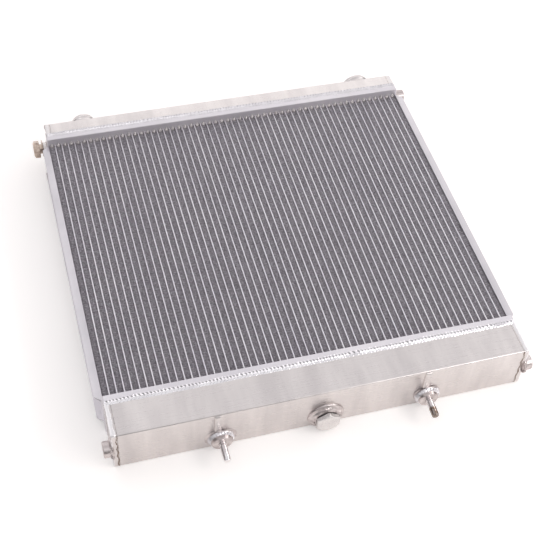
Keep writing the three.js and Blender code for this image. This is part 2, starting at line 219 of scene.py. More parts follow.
# Materials. A pattern's scale is in repeats per metre along X, Y and Z.
def linear(hexColour):
    # sRGB to linear light: a straight toe, then a power curve.
    srgb = np.array([int(hexColour[i:i + 2], 16) for i in (1, 3, 5)]) / 255
    low = srgb / 12.92
    high = ((srgb + 0.055) / 1.055) ** 2.4
    return (*np.where(srgb <= 0.04045, low, high), 1.0)


def add(tree, kind, values=None, **settings):
    made = tree.nodes.new(kind)
    for name, value in settings.items():
        setattr(made, name, value)
    for name, value in (values or {}).items():
        if isinstance(value, bpy.types.NodeSocket):
            tree.links.new(value, made.inputs[name])
        else:
            made.inputs[name].default_value = value
    return made.outputs


def newMaterial(name):
    material = bpy.data.materials.new(name)
    material.use_nodes = True
    material.node_tree.nodes.clear()
    return material, material.node_tree


def finishMaterial(tree, values):  # one shader with these values, and the output
    shader = add(tree, "ShaderNodeBsdfPrincipled", values)
    add(tree, "ShaderNodeOutputMaterial", {"Surface": shader["BSDF"]})


def stretched(tree, scale):  # object coordinates, drawn out along an axis by a smaller scale on it
    place = add(tree, "ShaderNodeTexCoord")["Object"]
    return add(tree, "ShaderNodeMapping", {"Vector": place, "Scale": scale})["Vector"]


metalPattern = {
    "grain": {"Scale": 1.0, "Detail": 3.0, "Roughness": 0.6},
    "stain": {"Scale": 1.0, "Detail": 4.0, "Roughness": 0.55},
    "grainEdge": {"From Min": 0.3, "From Max": 0.7},
    "stainEdge": {"From Min": 0.35, "From Max": 0.68, "To Min": 0.0, "To Max": 1.0},
    "waveStrength": 0.3, "grainStrength": 0.5,
}


def metalFinish(name, spec):
    # Two colours mixed by slow stains, a roughness that varies with the grain, and two depths of bump:
    # the grain itself and the long, shallow waves of a hand-finished surface.
    material, tree = newMaterial(name)
    look = metalPattern
    grain, stain = (
        add(tree, "ShaderNodeTexNoise", {"Vector": stretched(tree, spec[scale]), **look[part]})["Fac"]
        for part, scale in (("grain", "grainScale"), ("stain", "stainScale"))
    )
    stainMix = add(tree, "ShaderNodeMapRange", {"Value": stain, **look["stainEdge"]})["Result"]
    colour = add(tree, "ShaderNodeMix", {
        "Factor": stainMix, "A": linear(spec["colour"]), "B": linear(spec["stain"]),
    }, data_type="RGBA")
    grainMix = add(tree, "ShaderNodeMapRange", {
        "Value": grain, **look["grainEdge"],
        "To Min": spec["roughness"][0], "To Max": spec["roughness"][1],
    })["Result"]
    waves = add(tree, "ShaderNodeBump", {
        "Height": stain, "Strength": look["waveStrength"], "Distance": spec["wave"] * mm,
    })["Normal"]
    ridges = add(tree, "ShaderNodeBump", {
        "Height": grain, "Normal": waves, "Strength": look["grainStrength"], "Distance": spec["grain"] * mm,
    })["Normal"]
    finishMaterial(tree, {
        "Base Color": colour["Result"], "Metallic": spec["metallic"], "Roughness": grainMix, "Normal": ridges,
    })
    return material


def aluminium(name, colour, stain, **changes):  # rolled sheet, with what differs from it in changes
    spec = {
        "colour": colour, "stain": stain, "metallic": 1.0,
        "roughness": (0.3, 0.42),
        "grainScale": (30, 700, 700),      # streaks about 1.4 mm apart, drawn coarse enough to show
        "stainScale": (9, 16, 16),         # patches 60 to 110 mm across
        "grain": 0.03, "wave": 1.2,
    }
    spec.update(changes)
    return metalFinish(name, spec)


# Rolled aluminium sheet, folded and wiped down: soft grey with a faint long grain
sheetMetal = aluminium("rolled aluminium sheet", "#d2cfd3", "#dedade")
# The same sheet handled more and lightly stained by heat: a little pink
tankMetal = aluminium("heat-stained aluminium sheet", "#d9d3d2", "#eae4e2", roughness=(0.25, 0.35),
                      stainScale=(40, 7, 6), grain=0.01, wave=0.7)
# Header sheet: pressed and pickled, so nearly matt and a little blue
headerMetal = aluminium("pressed header sheet", "#dedadf", "#e9e5e9", metallic=0.6, roughness=(0.42, 0.56))
# Weld pads and bosses dressed with a file and brush: mottled satin, a little warm
padMetal = aluminium("dressed weld pad", "#c3b9b8", "#e6dedc", roughness=(0.28, 0.42),
                     grainScale=(500, 500, 500), stainScale=(110, 110, 110), grain=0.12, wave=0.6)
# Brazed tube: clad aluminium that has been through the furnace, pale and a little frosted
tubeMetal = aluminium("furnace-brazed tube", "#edebee", "#dddae0", metallic=0.8, roughness=(0.34, 0.5),
                      grainScale=(500, 60, 500), stainScale=(30, 6, 30), grain=0.05, wave=0.1)
# Folded fin sheet with flux residue: dull, dark and slightly purple where the folds shade one another
finMetal = aluminium("louvred fin foil", "#b5afb7", "#fdfafe", metallic=0.52, roughness=(0.4, 0.56),
                     grainScale=(300, 300, 830), stainScale=(380, 380, 380), grain=0.08, wave=0.1)
# TIG bead: clean, bright filler with sharp ripples
weldMetal = aluminium("bright weld filler", "#fbf9fb", "#eae7ea", roughness=(0.13, 0.24),
                      grainScale=(900, 900, 900), stainScale=(40, 40, 40), grain=0.06, wave=0.2)
# The same filler dressed with a brush: frosted, so its ripples show less
brushedWeld = aluminium("brushed weld filler", "#f0edf0", "#dddadd", metallic=0.85, roughness=(0.34, 0.46),
                        grainScale=(500, 500, 500), stainScale=(90, 90, 90), grain=0.25, wave=0.5)
# Turned aluminium fittings: fine rings of a lathe tool under a satin wipe
turnedMetal = aluminium("turned aluminium", "#e6e1e0", "#f0ecea", metallic=0.8, roughness=(0.24, 0.36),
                        grainScale=(600, 900, 600), stainScale=(50, 50, 50), grain=0.03, wave=0.2)
# Brass left in the open: dull and a little pink, with browner patches
brassMetal = aluminium("dulled brass", "#dccbbd", "#a8968a", roughness=(0.16, 0.3),
                       grainScale=(600, 600, 600), stainScale=(120, 120, 120), grain=0.03, wave=0.1)


rubber = {"colour": "#262526", "roughness": 0.62, "speckle": 900, "strength": 0.3, "depth": 0.05}


def sealRubber(name):
    # Moulded nitrile rubber: near black, matt, with a fine mould texture
    material, tree = newMaterial(name)
    place = stretched(tree, (rubber["speckle"],) * 3)
    speckle = add(tree, "ShaderNodeTexNoise", {"Vector": place, "Scale": 1.0})["Fac"]
    bump = add(tree, "ShaderNodeBump", {
        "Height": speckle, "Strength": rubber["strength"], "Distance": rubber["depth"] * mm,
    })["Normal"]
    finishMaterial(tree, {
        "Base Color": linear(rubber["colour"]), "Roughness": rubber["roughness"], "Normal": bump,
    })
    return material


# Brown for the seams' torch scorch, and on the right stud a painted reflection: brown painted where the plated
# steel only mirrors something brown.
scorch = {
    "bright": "#f4f1f2", "brown": "#7d6a5c",
    "patch": 260,        # patches about 4 mm across
    "patchEdge": {"From Min": 0.36, "From Max": 0.62, "To Min": 0.7, "To Max": 1.0},
    "strength": 0.6, "depth": 0.3,
}


def seamFinish(name, roughness):
    # Bright metal that turns brown by the piece's "tint" attribute: a seam scorched by the torch down its
    # outer face, and on a plated pin a painted reflection, brown painted along its outer part where it only
    # mirrors something brown.
    material, tree = newMaterial(name)
    tint = add(tree, "ShaderNodeAttribute", attribute_name="tint")["Fac"]
    place = stretched(tree, (scorch["patch"],) * 3)
    patches = add(tree, "ShaderNodeTexNoise", {"Vector": place, "Scale": 1.0})["Fac"]
    patchMix = add(tree, "ShaderNodeMapRange", {"Value": patches, **scorch["patchEdge"]})["Result"]
    amount = add(tree, "ShaderNodeMath", {0: tint, 1: patchMix}, operation="MULTIPLY")["Value"]
    colour = add(tree, "ShaderNodeMix", {
        "Factor": amount, "A": linear(scorch["bright"]), "B": linear(scorch["brown"]),
    }, data_type="RGBA")
    bump = add(tree, "ShaderNodeBump", {
        "Height": patches, "Strength": scorch["strength"], "Distance": scorch["depth"] * mm,
    })["Normal"]
    finishMaterial(tree, {
        "Base Color": colour["Result"], "Metallic": 1.0, "Roughness": roughness, "Normal": bump,
    })
    return material


washerRubber = sealRubber("moulded nitrile rubber")
seamMetal = seamFinish("heat-tinted seam", 0.3)
pinMetal = seamFinish("zinc-plated steel", 0.12)
print("materials made")


# Core
tubes = {
    "thickness": 2.0, "wall": 0.35, "noseSteps": 7, "stations": 64,
    "waver": 0.05, "waverLength": 34,     # how far a tube's flanks drift from straight, and over what length
    "swell": 0.06, "swellLength": 11,     # how much its width comes and goes, as a share
}


def stadium(thickness, depth, steps):
    # Two half circles joined by straight flanks, centred on X and with its upper nose at Z = 0.
    r = thickness / 2
    a = np.linspace(0, math.pi, steps)
    x = np.concatenate([r * np.cos(a), -r * np.cos(a)])
    z = np.concatenate([r * np.sin(a) - r, -r * np.sin(a) - depth + r])
    return x, z


def makeTubes():
    # Each tube is its section carried along Y, out to the far end and back inside as the bore.
    low, high = cadSpan("core_tubes")
    t = tubes["thickness"]
    stations = np.linspace(low[1], high[1], tubes["stations"])
    outerX, outerZ = stadium(t, core["depth"], tubes["noseSteps"])
    innerX, innerZ = stadium(t - 2 * tubes["wall"], core["depth"] - 2 * tubes["wall"], tubes["noseSteps"])
    innerZ = innerZ - tubes["wall"]
    y = np.concatenate([stations, [high[1], low[1]]])[:, None] + 0 * outerX
    shells = []
    for i in range(core["tubes"]):
        centre = (i - (core["tubes"] - 1) / 2) * core["pitch"]
        drift = wander(stations - low[1], tubes["waverLength"], 100 + i) * tubes["waver"]
        swell = 1 + tubes["swell"] * wander(stations - low[1], tubes["swellLength"], 300 + i)
        outer = outerX[None] * swell[:, None] + drift[:, None]
        x = np.concatenate([outer, [innerX, innerX]]) + centre
        z = np.concatenate([np.tile(outerZ, (len(stations), 1)), [innerZ, innerZ]]) + coreTop
        shells.append(grid(np.stack([x, y, z], -1), closeU=True, closeV=True))
    makePiece("tube_bank", shells, tubeMetal, replaces=["core_tubes"])


fins = {
    "foldPitch": 3.53,    # one full zigzag, so a leaf every 1.77 mm
    "sheet": 0.11,
    "damp": 0.985,        # nearer 1 gives sharper folds
    "bite": 0.05,         # how far a fold sinks into the tube
    "leafSteps": (-1, -0.86, -0.66, 0.66, 0.86),   # points along a leaf, as shares of half its length
    "recess": 0.8,
    "edge": 1.6,          # depth of the outer edge that can be bent over
    "endGap": 2.6,        # between a header and the first fold
    "jitter": 0.07, "mostBend": 1.2, "bendSink": 0.5,
    "banks": 6,
    "dents": 150, "dentRadius": (1.0, 3.2), "dentPush": 0.75, "dentEdge": 0.05,
    "seed": 7,
}


def finDents(rng, halfWidth):
    # Places where something has knocked the leaves over, more of them near the sides: their centres, radii
    # and pushes.
    count = fins["dents"]
    side = rng.choice([-1, 1], count)
    nearEdge = rng.random(count) < 0.5
    atEdge = side * halfWidth * (1 - rng.exponential(fins["dentEdge"], count))
    x = np.where(nearEdge, atEdge, rng.uniform(-halfWidth, halfWidth, count))
    y = rng.uniform(lowerFace, upperFace, count)
    return x, y, rng.uniform(*fins["dentRadius"], count), rng.normal(0, fins["dentPush"], count)


def makeFins():
    # A leaf runs from tube to tube: x is the arcsine of a slightly damped sine, a zigzag with rounded folds.
    # A dent pushes the leaves' upper edges along Y by a bell curve of the distance from its centre.
    rng = np.random.default_rng(fins["seed"])
    leaf = fins["foldPitch"] / 2
    reach = (core["pitch"] - tubes["thickness"]) / 2 + fins["bite"]
    start = lowerFace + fins["endGap"]
    count = int((upperFace - fins["endGap"] - start) / leaf)
    share = np.array(fins["leafSteps"])
    phase = (np.arange(count)[:, None] + share / 2).ravel() * math.pi
    path = reach * np.arcsin(fins["damp"] * np.sin(phase)) / math.asin(fins["damp"])
    along = start + (phase / math.pi + 0.5) * leaf
    tangent = unit(np.stack([np.gradient(path), np.gradient(along)], -1))
    normal = np.stack([-tangent[:, 1], tangent[:, 0]], -1) * fins["sheet"] / 2
    recess = fins["recess"]
    levels = coreTop - np.array([recess, recess + fins["edge"], core["depth"] - recess])
    dentX, dentY, dentR, dentPush = finDents(rng, core["tubes"] / 2 * core["pitch"])
    strips = core["tubes"] + 1
    bank = []
    banks = 0
    for i in range(strips):
        centre = (i - core["tubes"] / 2) * core["pitch"]
        x = path + centre
        jitter = np.repeat(rng.normal(0, fins["jitter"], count), len(share))
        near = np.exp(-((x[:, None] - dentX) ** 2 + (along[:, None] - dentY) ** 2) / (2 * dentR ** 2))
        push = (near * dentPush).sum(1) * np.cos(path / reach * math.pi / 2)
        most = fins["mostBend"]
        top = along + np.clip(jitter * np.cos(path / reach * math.pi / 2) + push, -most, most)
        sink = fins["bendSink"] * np.abs(np.clip(push, -most, most))
        points = np.zeros((len(x), 6, 3))
        for column, (row, side) in enumerate([(0, 1), (1, 1), (2, 1), (2, -1), (1, -1), (0, -1)]):
            points[:, column, 0] = x + side * normal[:, 0]
            points[:, column, 1] = (top if row == 0 else along) + side * normal[:, 1]
            points[:, column, 2] = levels[row] - (sink if row == 0 else 0)
        bank.append(grid(points, closeV=True, capU=True))
        if len(bank) == math.ceil(strips / fins["banks"]) or i == strips - 1:
            banks += 1
            makePiece(f"fin_bank_{banks}", bank, finMetal, replaces=["core_fins"],
                      sharpAngle=50)
            bank = []


plate = {
    "sheet": 1.8, "bend": 1.3, "insideBend": 0.4, "cutEdge": 0.3, "chamfer": 8.0,
    "stations": 40, "waver": 0.18, "waverLength": 60,
}


def makeSidePlate(name, side):
    # A C section with rounded bends, carried along Y. Each line of it stops early where the corner is cut
    # away: its end steps back by as much as it lies outside the start of the cut.
    low, high = cadSpan(name)
    inner, outer = sorted([abs(low[0]), abs(high[0])])
    s = plate["sheet"]
    z0, z1 = low[2], high[2]
    section = np.array([
        [outer, z1], [inner, z1], [inner, z0], [outer, z0],
        [outer, z0 + s], [inner + s, z0 + s], [inner + s, z1 - s], [outer, z1 - s],
    ])
    edge, bend, inside = plate["cutEdge"], plate["bend"], plate["insideBend"]
    radius = np.array([edge, bend, bend, edge, edge, inside, inside, edge])
    loop = filleted(section, radius, closed=True)
    cutBack = np.maximum(0, loop[:, 0] - (outer - plate["chamfer"]))
    t = np.linspace(0, 1, plate["stations"])[:, None]
    y = (low[1] + cutBack) * (1 - t) + (high[1] - cutBack) * t
    drift = wander(t[:, 0] * (high[1] - low[1]), plate["waverLength"], 11 if side > 0 else 12)[:, None]
    drift = drift * plate["waver"]
    bow = drift * (loop[:, 0] - inner) / (outer - inner)
    z = loop[:, 1] + np.minimum(bow, 0) * np.sign(loop[:, 1] - (z0 + z1) / 2)
    x = side * (loop[:, 0] + 0 * y)
    shell = grid(np.stack([x, y, z], -1), closeV=True, capU=True)
    makePiece(name.replace("side_plate", "side_channel"), [shell], sheetMetal,
              replaces=[name])


makeTubes()
makeFins()
makeSidePlate("side_plate_left", -1)
makeSidePlate("side_plate_right", 1)
print("core made")


# Headers and tanks
header = {"sheet": 3.0, "corner": 4.0, "edge": 1.4, "lip": 0.7, "insideCorner": 1.0, "depth": 8.8, "web": 6}
ridge = {
    "width": 5.4, "proud": 3.2, "sink": 0.2, "over": 4.0, "rows": 14, "columns": 9,
    "endPower": 16, "leastTaper": 0.0004,
}
tank = {
    "sheet": 3.0, "fold": 3.8, "start": 12.6, "stations": 90, "waver": 0.12, "waverLength": 70,
    "cap": 7.3, "capFlange": 3, "capReturn": 8, "capDish": 0.6, "capEdge": 1.3,
}


def roundedOutline(halfWidth, low, high, radius):
    # A rectangle with rounded corners, drawn in by any amount.
    def inset(by):
        corners = [
            [halfWidth - by, low + by], [halfWidth - by, high - by],
            [-halfWidth + by, high - by], [-halfWidth + by, low + by],
        ]
        return filleted(corners, max(radius - by, 0.3), steps=7, closed=True)
    return inset


def tray(outline, profile):
    # Rings of an outline, each drawn in by an inset and set at a depth, closed by a flat face at both ends.
    rings = [np.insert(outline(inset), 1, depth, axis=1) for inset, depth in profile]
    return grid(np.stack(rings), closeV=True, capU=True)


def makeHeader(name, place):
    halfWidth = cadSpan(name)[1][0]
    # The tray's wall in section: inset and depth, from the web round the flange and back to the web.
    sheet, depth, web = header["sheet"], header["depth"], header["web"]
    profile = filleted(
        [[web, 0], [0, 0], [0, depth], [sheet, depth], [sheet, sheet], [web, sheet]],
        np.array([0.1, header["edge"], header["lip"], header["lip"], header["insideCorner"], 0.1]), steps=6)
    outline = roundedOutline(halfWidth, tankBottom, tankTop, header["corner"])
    makePiece(f"{name}_tray", [moved(tray(outline, profile), place)], headerMetal,
              replaces=[name], sharpAngle=45)


def makeRidges(name, place):
    # Pressed ribs on the header between the tubes: half-ellipse across, with ends that round off like a
    # superellipse just past the core's faces.
    a = np.linspace(0, math.pi, ridge["columns"])[None]
    t = np.linspace(-1, 1, ridge["rows"])[:, None]
    taper = np.sqrt(np.clip(1 - np.abs(t) ** ridge["endPower"], ridge["leastTaper"], 1))
    half = core["depth"] / 2 + ridge["over"]
    shells = []
    for i in range(core["tubes"] + 1):
        centre = (i - core["tubes"] / 2) * core["pitch"]
        x = centre + ridge["width"] / 2 * np.cos(a) * taper
        y = ridge["sink"] - (ridge["sink"] + ridge["proud"]) * np.sin(a) * taper
        z = -core["depth"] / 2 + half * t + 0 * a
        shells.append(moved(grid(np.stack([x, y, z], -1), closeV=True, capU=True), place))
    makePiece(name, shells, turnedMetal)


def shellOutline(face, inset):
    # The tank's section from its top edge, round the two folds of the outer face, to its bottom edge.
    far = face - inset
    corners = [
        [tank["start"], tankTop - inset], [far, tankTop - inset],
        [far, tankBottom + inset], [tank["start"], tankBottom + inset],
    ]
    return filleted(corners, max(tank["fold"] - inset, 0.3), steps=9)


cutters = {
    "bung": 16.8, "bleed": 5.3,   # radii of the holes
    "neckWall": 1,                # how much smaller than a neck's radius its hole is
    "length": 20, "sides": 64,
}


def drilled(piece, holes):
    # Each hole is [centre, direction, radius]: a round cutter taken away from the piece, then thrown away.
    for centre, direction, radius in holes:
        bpy.ops.mesh.primitive_cylinder_add(
            radius=radius * mm, depth=cutters["length"] * mm, vertices=cutters["sides"],
            location=Vector(centre) * mm,
            rotation=Vector((0, 0, 1)).rotation_difference(Vector(direction)).to_euler())
        cutter = bpy.context.object
        modifier = piece.modifiers.new("hole", "BOOLEAN")
        modifier.operation = "DIFFERENCE"
        modifier.object = cutter
        evaluated = piece.evaluated_get(bpy.context.evaluated_depsgraph_get())
        piece.data = bpy.data.meshes.new_from_object(evaluated)
        piece.modifiers.clear()
        bpy.data.objects.remove(cutter)


def makeTankShell(name, face, place, holes):
    # The folded sheet carried along X, with a slow ripple in the outer face that a flat sheet always has.
    halfWidth = cadSpan(name)[1][0]
    loop = np.vstack([shellOutline(face, 0), shellOutline(face, tank["sheet"])[::-1]])
    stations = np.linspace(-halfWidth, halfWidth, tank["stations"])
    x = stations[:, None] + 0 * loop[:, 0]
    middle = 1 - ((loop[:, 1] - (tankTop + tankBottom) / 2) / ((tankTop - tankBottom) / 2)) ** 2
    onFace = np.clip((loop[:, 0] - face + tank["sheet"]) / tank["sheet"], 0, 1) * np.clip(middle, 0, 1)
    bow = (wander(stations + halfWidth, tank["waverLength"], len(name)) - 1)[:, None] * tank["waver"] * onFace
    points = np.stack([x, loop[:, 0] + bow, loop[:, 1] + 0 * x], -1)
    piece = makePiece(f"{name}_sheet", [moved(grid(points, closeV=True, capU=True), place)], tankMetal,
                      replaces=[name])
    drilled(piece, holes)


def makeTankCap(name, face, side, place, holes=()):
    # A dished end: its outline follows the tank's section, with rounded outer edges and a turned-in flange.
    span = cadSpan(name)
    outer = max(abs(span[0][0]), abs(span[1][0]))
    depth, flange, back = tank["cap"], tank["capFlange"], tank["capReturn"]

    def outline(by):
        corners = [
            [tank["start"] + by, tankTop - by], [face - by, tankTop - by],
            [face - by, tankBottom + by], [tank["start"] + by, tankBottom + by],
        ]
        radius = np.array([0.8, 1.2, 1.2, 0.8]) * tank["fold"] / 1.2   # the outer two match the tank's folds
        return filleted(corners, radius, steps=7, closed=True)

    dish = depth / 2 + tank["capDish"]
    profile = filleted(
        [[back, dish], [flange, dish], [flange, 0], [0, 0], [0, depth], [back, depth]],
        np.array([0.1, 0.6, 0.4, 0.4, tank["capEdge"], 0.1]), steps=6)
    rings = [np.insert(outline(by), 0, x, axis=1) for by, x in profile]
    points = np.stack(rings)
    points[..., 0] = side * (outer - depth + points[..., 0])
    piece = makePiece(name.replace("_cap", "_end"), [moved(grid(points, closeV=True, capU=True), place)],
                      tankMetal, replaces=[name])
    drilled(piece, holes)


# How far each tank reaches past its header, and where its fittings sit
lowerReach = lowerFace - cadSpan("lower_tank")[0][1]
upperReach = cadSpan("upper_tank")[1][1] - upperFace
neckSpans = {side: cadSpan(f"hose_neck_{side}") for side in ("left", "right")}
bungLow, bungHigh = cadSpan("drain_bung")
bungCentre = (bungLow + bungHigh) / 2
bleedLow, bleedHigh = cadSpan("bleed_boss")
bleedCentre = (bleedLow + bleedHigh) / 2


def neckHoles():  # one round hole in the upper tank's outer face for each neck
    holes = []
    for low, high in neckSpans.values():
        middle = (low + high) / 2
        radius = (high[2] - low[2]) / 2 - cutters["neckWall"]
        holes.append([[middle[0], upperFace + upperReach, middle[2]], (0, 1, 0), radius])
    return holes


for name, place in (("lower_header", lowerSet), ("upper_header", upperSet)):
    makeHeader(name, place)
makeRidges("lower_header_ribs", lowerSet)
makeRidges("upper_header_ribs", upperSet)
makeTankShell("lower_tank", lowerReach, lowerSet,
              [[[0, lowerFace - lowerReach, bungCentre[2]], (0, 1, 0), cutters["bung"]]])
makeTankShell("upper_tank", upperReach, upperSet, neckHoles())
for side, word in ((-1, "left"), (1, "right")):
    makeTankCap(f"lower_tank_cap_{word}", lowerReach, -side, lowerSet)
makeTankCap("upper_tank_cap_left", upperReach, -1, upperSet,
            [[[bleedHigh[0], bleedCentre[1], bleedCentre[2]], (1, 0, 0), cutters["bleed"]]])
makeTankCap("upper_tank_cap_right", upperReach, 1, upperSet)
print("headers and tanks made")


# Welds. Pitch is from puddle to puddle, ripple is how much of the height each one loses along its length,
# and lag is how far its edges trail behind its middle.
tankBead = {
    "width": 8.6, "proud": 1.45, "pitch": 4.8, "ripple": 1.0, "lag": 4.2, "ragged": 0.09,
    "sink": 1.0, "columns": 17,
}
seamBead = {
    "width": 5.4, "proud": 0.7, "pitch": 3.4, "ripple": 0.5, "lag": 1.4, "ragged": 0.22,
    "sink": 0.8, "columns": 9,
}
faceBead = {
    "width": 2.0, "proud": 0.4, "pitch": 2.1, "ripple": 0.4, "lag": 0.6, "ragged": 0.3,
    "sink": 0.8, "columns": 7,
}
ringBead = {
    "width": 6.4, "proud": 1.7, "pitch": 3.0, "ripple": 0.65, "lag": 1.8, "ragged": 0.28,
    "sink": 1.5, "columns": 9,
}
puddles = {
    "domePower": 0.55, "footWidth": 0.85,
    "raggedLength": 1.3, "slip": 0.5, "slipLength": 4,   # as multiples of the pitch
}


def bead(path, normal, across, spec, seed, closed=False, lift=1.0):
    # A row of overlapping puddles. Across the bead the height is a flat-topped dome. Along it each puddle
    # falls away like a saw tooth, set back by the square of the distance from the middle, which curves the
    # ripples.
    s = np.arange(len(path)) * np.linalg.norm(path[1] - path[0])
    v = np.linspace(-1, 1, spec["columns"])[None]
    ragged = spec["ragged"] * wander(s, spec["pitch"] * puddles["raggedLength"], seed)
    half = (spec["width"] / 2 * (1 + ragged))[:, None]
    slip = puddles["slip"] * wander(s, spec["pitch"] * puddles["slipLength"], seed + 1)[:, None]
    puddle = ((s[:, None] + spec["lag"] * v ** 2) / spec["pitch"] + slip) % 1
    dome = np.clip(1 - v ** 2, 0, 1) ** puddles["domePower"]
    height = spec["proud"] * np.reshape(lift, (-1, 1)) * dome * (1 - spec["ripple"] * puddle)
    top = path[:, None] + across[:, None] * (v * half)[..., None] + normal[:, None] * height[..., None]
    foot = (np.array([[1, -1]]) * puddles["footWidth"] * half)[..., None]
    low = path[:, None] + across[:, None] * foot - normal[:, None] * spec["sink"]
    return grid(np.concatenate([top, low], 1), closeU=closed, closeV=True, capU=not closed)


tankJoint = {
    "halfWidth": 285.3, "corner": 3.0,
    "behindFlange": 3.0,      # from the header's edge to the middle of the bead
    "waver": 0.35, "waverLength": 40,
    "lift": (0.5, 1.1, -0.12, 1),   # the bead's height: start, gain with how far up it faces, least and most
}


def makeTankBead(name, node, place, finish):
    # The bead runs right round the joint between a header and its tank, and is ground flush underneath.
    loop = roundedOutline(tankJoint["halfWidth"], tankBottom, tankTop, tankJoint["corner"])(0)
    flat, s = resampled(loop, tankBead["pitch"] / 8, closed=True)
    middle = np.full(len(flat), header["depth"] + tankJoint["behindFlange"])
    path = np.stack([flat[:, 0], middle, flat[:, 1]], -1)
    tangent = unit(np.roll(path, -1, 0) - np.roll(path, 1, 0))
    across = np.tile([0.0, 1.0, 0.0], (len(path), 1))
    normal = np.cross(tangent, across)
    normal *= np.sign((normal * (path - [0, 0, -core["depth"] / 2])).sum(1))[:, None]
    start, gain, least, most = tankJoint["lift"]
    lift = np.clip(start + gain * normal[:, 2], least, most)
    path[:, 1] += tankJoint["waver"] * wander(s, tankJoint["waverLength"], 21)
    shell = bead(path, normal, across, tankBead, 31, closed=True, lift=lift)
    makePiece(name, [moved(shell, place)], finish, replaces=[node], sharpAngle=35)


seam = {
    "halfWidth": 284.8, "step": 0.26,
    "topInset": 2.1, "topWaver": 0.4, "topWaverLength": 9,
    "faceInset": 5.0, "zigzag": 1.8, "zigzagLength": 9, "faceWaver": 0.5, "faceWaverLength": 3,
    "topTint": 0.3,
    # a bead's height: start, gain with how far its surface faces up, and least
    "topLift": (-0.3, 1.6, -0.3), "faceLift": (1.1, -2.2, -0.4),
}


def makeSeams(name, face, place, rise):
    # Two seams for each end of a tank: a bright one along the top edge, and a thin, scorched one that zigzags
    # down the outer face as a triangle wave.
    outline, s = resampled(shellOutline(face, 0), seam["step"])
    tangent = unit(np.gradient(outline, axis=0))
    count = len(outline)
    normal = np.stack([np.zeros(count), -tangent[:, 1], tangent[:, 0]], -1)
    across = np.tile([1.0, 0.0, 0.0], (count, 1))
    start, gain, least = seam["topLift"]
    onTop = np.clip(start + gain * normal[:, 2], least, 1) * rise
    start, gain, least = seam["faceLift"]
    onFace = np.clip(start + gain * np.abs(normal[:, 2]), least, 1)
    zigzag = np.abs((s / seam["zigzagLength"]) % 2 - 1) * seam["zigzag"]
    zigzag = zigzag + seam["faceWaver"] * wander(s, seam["faceWaverLength"], 47)
    shells, tint = [], []
    for side in (-1, 1):
        straight = seam["topWaver"] * wander(s, seam["topWaverLength"], 41 + side)
        for spec, inset, lift, drift, brown in (
            (seamBead, seam["topInset"], onTop, straight, (1 - rise) * seam["topTint"]),
            (faceBead, seam["faceInset"], onFace, zigzag, 1.0),
        ):
            x = side * (seam["halfWidth"] - inset) - side * drift
            path = np.stack([x, outline[:, 0], outline[:, 1]], -1)
            shells.append(moved(bead(path, normal, across, spec, 50 + side, lift=lift), place))
            tint.append(np.full(count * (spec["columns"] + 2), brown))
    makePiece(name, shells, seamMetal, sharpAngle=70, tint=np.concatenate(tint))


def ringOfBead(radiusX, radiusZ, height, spec, seed):
    # A bead round a boss, in the boss's own coordinates: it leans halfway between the wall and the boss.
    a = np.linspace(0, 2 * math.pi, 721)[:-1]
    ellipse = np.stack([radiusX * np.cos(a), radiusZ * np.sin(a)], -1)
    circle, s = resampled(ellipse, spec["pitch"] / 8, closed=True)
    outward = unit(circle)
    path = np.insert(circle, 1, height, axis=1)
    outward = np.insert(outward, 1, 0, axis=1)
    axis = np.array([0.0, 1.0, 0.0])
    return bead(path, unit(outward + axis), unit(outward - axis), spec, seed, closed=True)


floorGap = 0.02   # weld is kept this far above the floor


def aboveFloor(place):  # a bead that would reach below the tank is dressed flush with it
    def settle(points):
        points = place(points)
        points[:, 2] = np.maximum(points[:, 2], floorGap)
        return points
    return settle


makeTankBead("lower_tank_bead", "lower_tank_weld", lowerSet, weldMetal)
makeTankBead("upper_tank_bead", "upper_tank_weld", upperSet, brushedWeld)
makeSeams("lower_tank_seams", lowerReach, lowerSet, 1.0)
makeSeams("upper_tank_seams", upperReach, upperSet, 0.25)
print("welds made")


# Fittings. A turned piece is drawn as radius and height, with its foot at height 0.
pin = {
    "radius": 5.0, "tipRound": 2.4, "bore": 5.3,
    "grooveStart": 0.36, "grooveEnd": 0.41,   # as shares of the pin's reach
    "grooveDepth": 0.5,
    "worn": {"left": 1.2, "right": 0.6},   # where the painted brown reflection starts, as a share of the reach
    "paintedReflectionEdge": 12,                        # it is full a twelfth of the reach further on
    "boss": 13.5, "bossHeight": 11.0, "crownRound": 1.4,
    "foot": 2.6, "footLength": 1.6,        # how far the foot flares, and how fast that fades with height
    "spread": {"left": 6.6, "right": 3.4}, "spreadLength": 4.2,   # the foot's extra width along the tank
    "ragged": 0.35,
    "seed": {"left": 61, "right": 71},
    "collar": {
        **ringBead, "width": 7.0, "proud": 1.2, "pitch": 3.8, "ripple": 0.85, "ragged": 0.34,
    },
    "collarHeight": 5.0,
}


